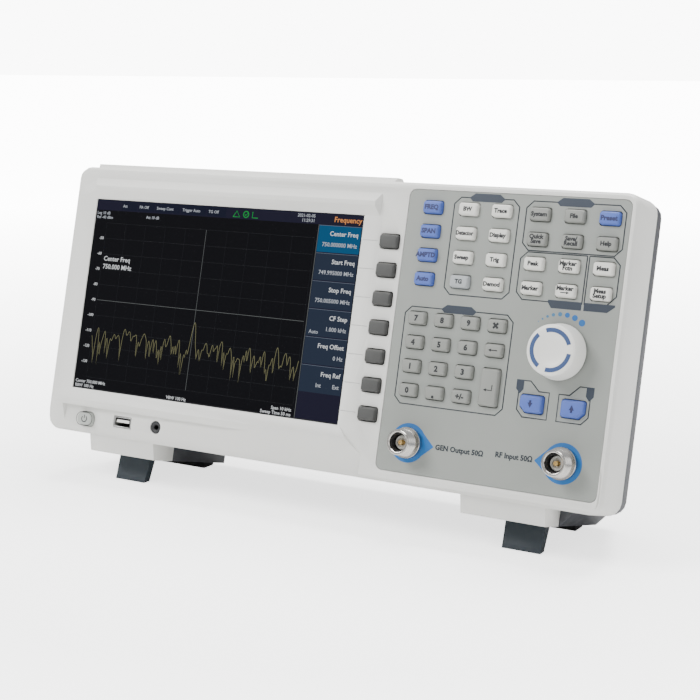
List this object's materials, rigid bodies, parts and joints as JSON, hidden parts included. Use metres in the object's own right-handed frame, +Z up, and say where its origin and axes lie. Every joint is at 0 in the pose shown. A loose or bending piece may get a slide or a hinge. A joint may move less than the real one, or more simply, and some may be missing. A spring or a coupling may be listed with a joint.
{
  "type": "spectrum analyzer",
  "caption": "Benchtop spectrum analyzer with a wide display, soft keys, function keypad, tuning knob and two type N sockets, tilted back on flip-out legs.",
  "frame": {"origin": "bottom centre of the bounding box, on the surface that the legs and rear feet stand on", "axes": "+X to the instrument's right as seen from the front, +Y towards its back, +Z up; the housing leans back 14.1 degrees on its legs"},
  "size_m": [0.42, 0.1448, 0.219],
  "materials": {
    "case_white": "fine moulded texture, warm light grey",
    "panel_grey": "printed panel film, soft matt",
    "cover_dark": "coarse moulded texture, dark blue grey",
    "screen_black": "dark display under a clear hard layer",
    "key_white": "silicone, matt",
    "key_grey": "silicone, matt",
    "key_dark": "silicone, matt",
    "key_blue": "silicone, matt",
    "foot_rubber": "matt rubber",
    "slate_plastic": "satin moulded plastic",
    "nickel": "nickel plated brass",
    "board_green": "solder mask on glass fibre",
    "shield_tin": "tinned sheet",
    "guard_steel": "black painted steel",
    "socket_black": "glass filled nylon, matt"
  },
  "bodies": {
    "housing": {"ac_inlet": "socket_black", "fan_frame": "socket_black", "fan_guard": "guard_steel", "front_bezel": "case_white", "gen_connector": "nickel", "headphone_jack": "socket_black", "key_board": "board_green", "key_mat": "key_white", "lan_socket": "shield_tin", "lcd_panel": "screen_black", "left_rear_foot": "foot_rubber", "main_board": "board_green", "panel_overlay": "panel_grey", "power_supply": "board_green", "rear_cover": "cover_dark", "reference_in_socket": "nickel", "reference_out_socket": "nickel", "rf_connector": "nickel", "rf_module": "shield_tin", "right_rear_foot": "foot_rubber", "rotary_encoder": "nickel", "trigger_in_socket": "nickel", "usb_a_socket": "shield_tin", "usb_b_socket": "shield_tin"},
    "amplitude_key": {"amplitude_key": "key_blue"},
    "auto_key": {"auto_key": "key_blue"},
    "back_key": {"back_key": "key_grey"},
    "clear_key": {"clear_key": "key_grey"},
    "down_key": {"down_key": "key_blue"},
    "enter_key": {"enter_key": "key_grey"},
    "frequency_key": {"frequency_key": "key_blue"},
    "number_key_0": {"number_key_0": "key_grey"},
    "number_key_1": {"number_key_1": "key_grey"},
    "number_key_2": {"number_key_2": "key_grey"},
    "number_key_3": {"number_key_3": "key_grey"},
    "number_key_4": {"number_key_4": "key_grey"},
    "number_key_5": {"number_key_5": "key_grey"},
    "number_key_6": {"number_key_6": "key_grey"},
    "number_key_7": {"number_key_7": "key_grey"},
    "number_key_8": {"number_key_8": "key_grey"},
    "number_key_9": {"number_key_9": "key_grey"},
    "point_key": {"point_key": "key_grey"},
    "power_key": {"power_key": "key_white"},
    "preset_key": {"preset_key": "key_blue"},
    "sign_key": {"sign_key": "key_grey"},
    "soft_key_1": {"soft_key_1": "key_dark"},
    "soft_key_2": {"soft_key_2": "key_dark"},
    "soft_key_3": {"soft_key_3": "key_dark"},
    "soft_key_4": {"soft_key_4": "key_dark"},
    "soft_key_5": {"soft_key_5": "key_dark"},
    "soft_key_6": {"soft_key_6": "key_dark"},
    "soft_key_7": {"soft_key_7": "key_dark"},
    "span_key": {"span_key": "key_blue"},
    "up_key": {"up_key": "key_blue"},
    "tuning_knob": {"tuning_knob": "case_white"},
    "left_leg": {"left_leg": "slate_plastic"},
    "right_leg": {"right_leg": "slate_plastic"},
    "carry_handle": {"carry_handle": "slate_plastic"},
    "fan_rotor": {"fan_rotor": "socket_black"},
    "mains_rocker": {"mains_rocker": "socket_black"}
  },
  "joints": [
    {"name": "amplitude_key_press", "type": "slide", "parent": "housing", "child": "amplitude_key", "axis": [0, 0.9698, -0.2439], "range_m": [0, 0.001], "stiffness_N_per_m": 900},
    {"name": "auto_key_press", "type": "slide", "parent": "housing", "child": "auto_key", "axis": [0, 0.9698, -0.2439], "range_m": [0, 0.001], "stiffness_N_per_m": 900},
    {"name": "back_key_press", "type": "slide", "parent": "housing", "child": "back_key", "axis": [0, 0.9698, -0.2439], "range_m": [0, 0.001], "stiffness_N_per_m": 900},
    {"name": "clear_key_press", "type": "slide", "parent": "housing", "child": "clear_key", "axis": [0, 0.9698, -0.2439], "range_m": [0, 0.001], "stiffness_N_per_m": 900},
    {"name": "down_key_press", "type": "slide", "parent": "housing", "child": "down_key", "axis": [0, 0.9698, -0.2439], "range_m": [0, 0.001], "stiffness_N_per_m": 900},
    {"name": "enter_key_press", "type": "slide", "parent": "housing", "child": "enter_key", "axis": [0, 0.9698, -0.2439], "range_m": [0, 0.001], "stiffness_N_per_m": 900},
    {"name": "frequency_key_press", "type": "slide", "parent": "housing", "child": "frequency_key", "axis": [0, 0.9698, -0.2439], "range_m": [0, 0.001], "stiffness_N_per_m": 900},
    {"name": "number_key_0_press", "type": "slide", "parent": "housing", "child": "number_key_0", "axis": [0, 0.9698, -0.2439], "range_m": [0, 0.001], "stiffness_N_per_m": 900},
    {"name": "number_key_1_press", "type": "slide", "parent": "housing", "child": "number_key_1", "axis": [0, 0.9698, -0.2439], "range_m": [0, 0.001], "stiffness_N_per_m": 900},
    {"name": "number_key_2_press", "type": "slide", "parent": "housing", "child": "number_key_2", "axis": [0, 0.9698, -0.2439], "range_m": [0, 0.001], "stiffness_N_per_m": 900},
    {"name": "number_key_3_press", "type": "slide", "parent": "housing", "child": "number_key_3", "axis": [0, 0.9698, -0.2439], "range_m": [0, 0.001], "stiffness_N_per_m": 900},
    {"name": "number_key_4_press", "type": "slide", "parent": "housing", "child": "number_key_4", "axis": [0, 0.9698, -0.2439], "range_m": [0, 0.001], "stiffness_N_per_m": 900},
    {"name": "number_key_5_press", "type": "slide", "parent": "housing", "child": "number_key_5", "axis": [0, 0.9698, -0.2439], "range_m": [0, 0.001], "stiffness_N_per_m": 900},
    {"name": "number_key_6_press", "type": "slide", "parent": "housing", "child": "number_key_6", "axis": [0, 0.9698, -0.2439], "range_m": [0, 0.001], "stiffness_N_per_m": 900},
    {"name": "number_key_7_press", "type": "slide", "parent": "housing", "child": "number_key_7", "axis": [0, 0.9698, -0.2439], "range_m": [0, 0.001], "stiffness_N_per_m": 900},
    {"name": "number_key_8_press", "type": "slide", "parent": "housing", "child": "number_key_8", "axis": [0, 0.9698, -0.2439], "range_m": [0, 0.001], "stiffness_N_per_m": 900},
    {"name": "number_key_9_press", "type": "slide", "parent": "housing", "child": "number_key_9", "axis": [0, 0.9698, -0.2439], "range_m": [0, 0.001], "stiffness_N_per_m": 900},
    {"name": "point_key_press", "type": "slide", "parent": "housing", "child": "point_key", "axis": [0, 0.9698, -0.2439], "range_m": [0, 0.001], "stiffness_N_per_m": 900},
    {"name": "power_key_press", "type": "slide", "parent": "housing", "child": "power_key", "axis": [0, 0.9698, -0.2439], "range_m": [0, 0.001], "stiffness_N_per_m": 900},
    {"name": "preset_key_press", "type": "slide", "parent": "housing", "child": "preset_key", "axis": [0, 0.9698, -0.2439], "range_m": [0, 0.001], "stiffness_N_per_m": 900},
    {"name": "sign_key_press", "type": "slide", "parent": "housing", "child": "sign_key", "axis": [0, 0.9698, -0.2439], "range_m": [0, 0.001], "stiffness_N_per_m": 900},
    {"name": "soft_key_1_press", "type": "slide", "parent": "housing", "child": "soft_key_1", "axis": [0, 0.9698, -0.2439], "range_m": [0, 0.001], "stiffness_N_per_m": 900},
    {"name": "soft_key_2_press", "type": "slide", "parent": "housing", "child": "soft_key_2", "axis": [0, 0.9698, -0.2439], "range_m": [0, 0.001], "stiffness_N_per_m": 900},
    {"name": "soft_key_3_press", "type": "slide", "parent": "housing", "child": "soft_key_3", "axis": [0, 0.9698, -0.2439], "range_m": [0, 0.001], "stiffness_N_per_m": 900},
    {"name": "soft_key_4_press", "type": "slide", "parent": "housing", "child": "soft_key_4", "axis": [0, 0.9698, -0.2439], "range_m": [0, 0.001], "stiffness_N_per_m": 900},
    {"name": "soft_key_5_press", "type": "slide", "parent": "housing", "child": "soft_key_5", "axis": [0, 0.9698, -0.2439], "range_m": [0, 0.001], "stiffness_N_per_m": 900},
    {"name": "soft_key_6_press", "type": "slide", "parent": "housing", "child": "soft_key_6", "axis": [0, 0.9698, -0.2439], "range_m": [0, 0.001], "stiffness_N_per_m": 900},
    {"name": "soft_key_7_press", "type": "slide", "parent": "housing", "child": "soft_key_7", "axis": [0, 0.9698, -0.2439], "range_m": [0, 0.001], "stiffness_N_per_m": 900},
    {"name": "span_key_press", "type": "slide", "parent": "housing", "child": "span_key", "axis": [0, 0.9698, -0.2439], "range_m": [0, 0.001], "stiffness_N_per_m": 900},
    {"name": "up_key_press", "type": "slide", "parent": "housing", "child": "up_key", "axis": [0, 0.9698, -0.2439], "range_m": [0, 0.001], "stiffness_N_per_m": 900},
    {"name": "tuning_knob_turn", "type": "hinge", "parent": "housing", "child": "tuning_knob", "pos_m": [0.1716, -0.04109, 0.12475], "axis": [0, -0.9698, 0.2439], "continuous": true},
    {"name": "left_leg_fold", "type": "hinge", "parent": "housing", "child": "left_leg", "pos_m": [-0.1507, -0.02944, 0.02345], "axis": [1, 0, 0], "range_deg": [0, 98]},
    {"name": "right_leg_fold", "type": "hinge", "parent": "housing", "child": "right_leg", "pos_m": [0.1507, -0.02944, 0.02345], "axis": [1, 0, 0], "range_deg": [0, 98]},
    {"name": "handle_lift", "type": "hinge", "parent": "housing", "child": "carry_handle", "pos_m": [0, 0.02888, 0.19568], "axis": [1, 0, 0], "range_deg": [0, 100]},
    {"name": "fan_spin", "type": "hinge", "parent": "housing", "child": "fan_rotor", "pos_m": [0.11, 0.04297, 0.1064], "axis": [0, 0.9698, -0.2439], "continuous": true},
    {"name": "mains_rocker_tip", "type": "hinge", "parent": "housing", "child": "mains_rocker", "pos_m": [-0.1285, 0.04096, 0.05534], "axis": [1, 0, 0], "range_deg": [-8, 8]}
  ]
}
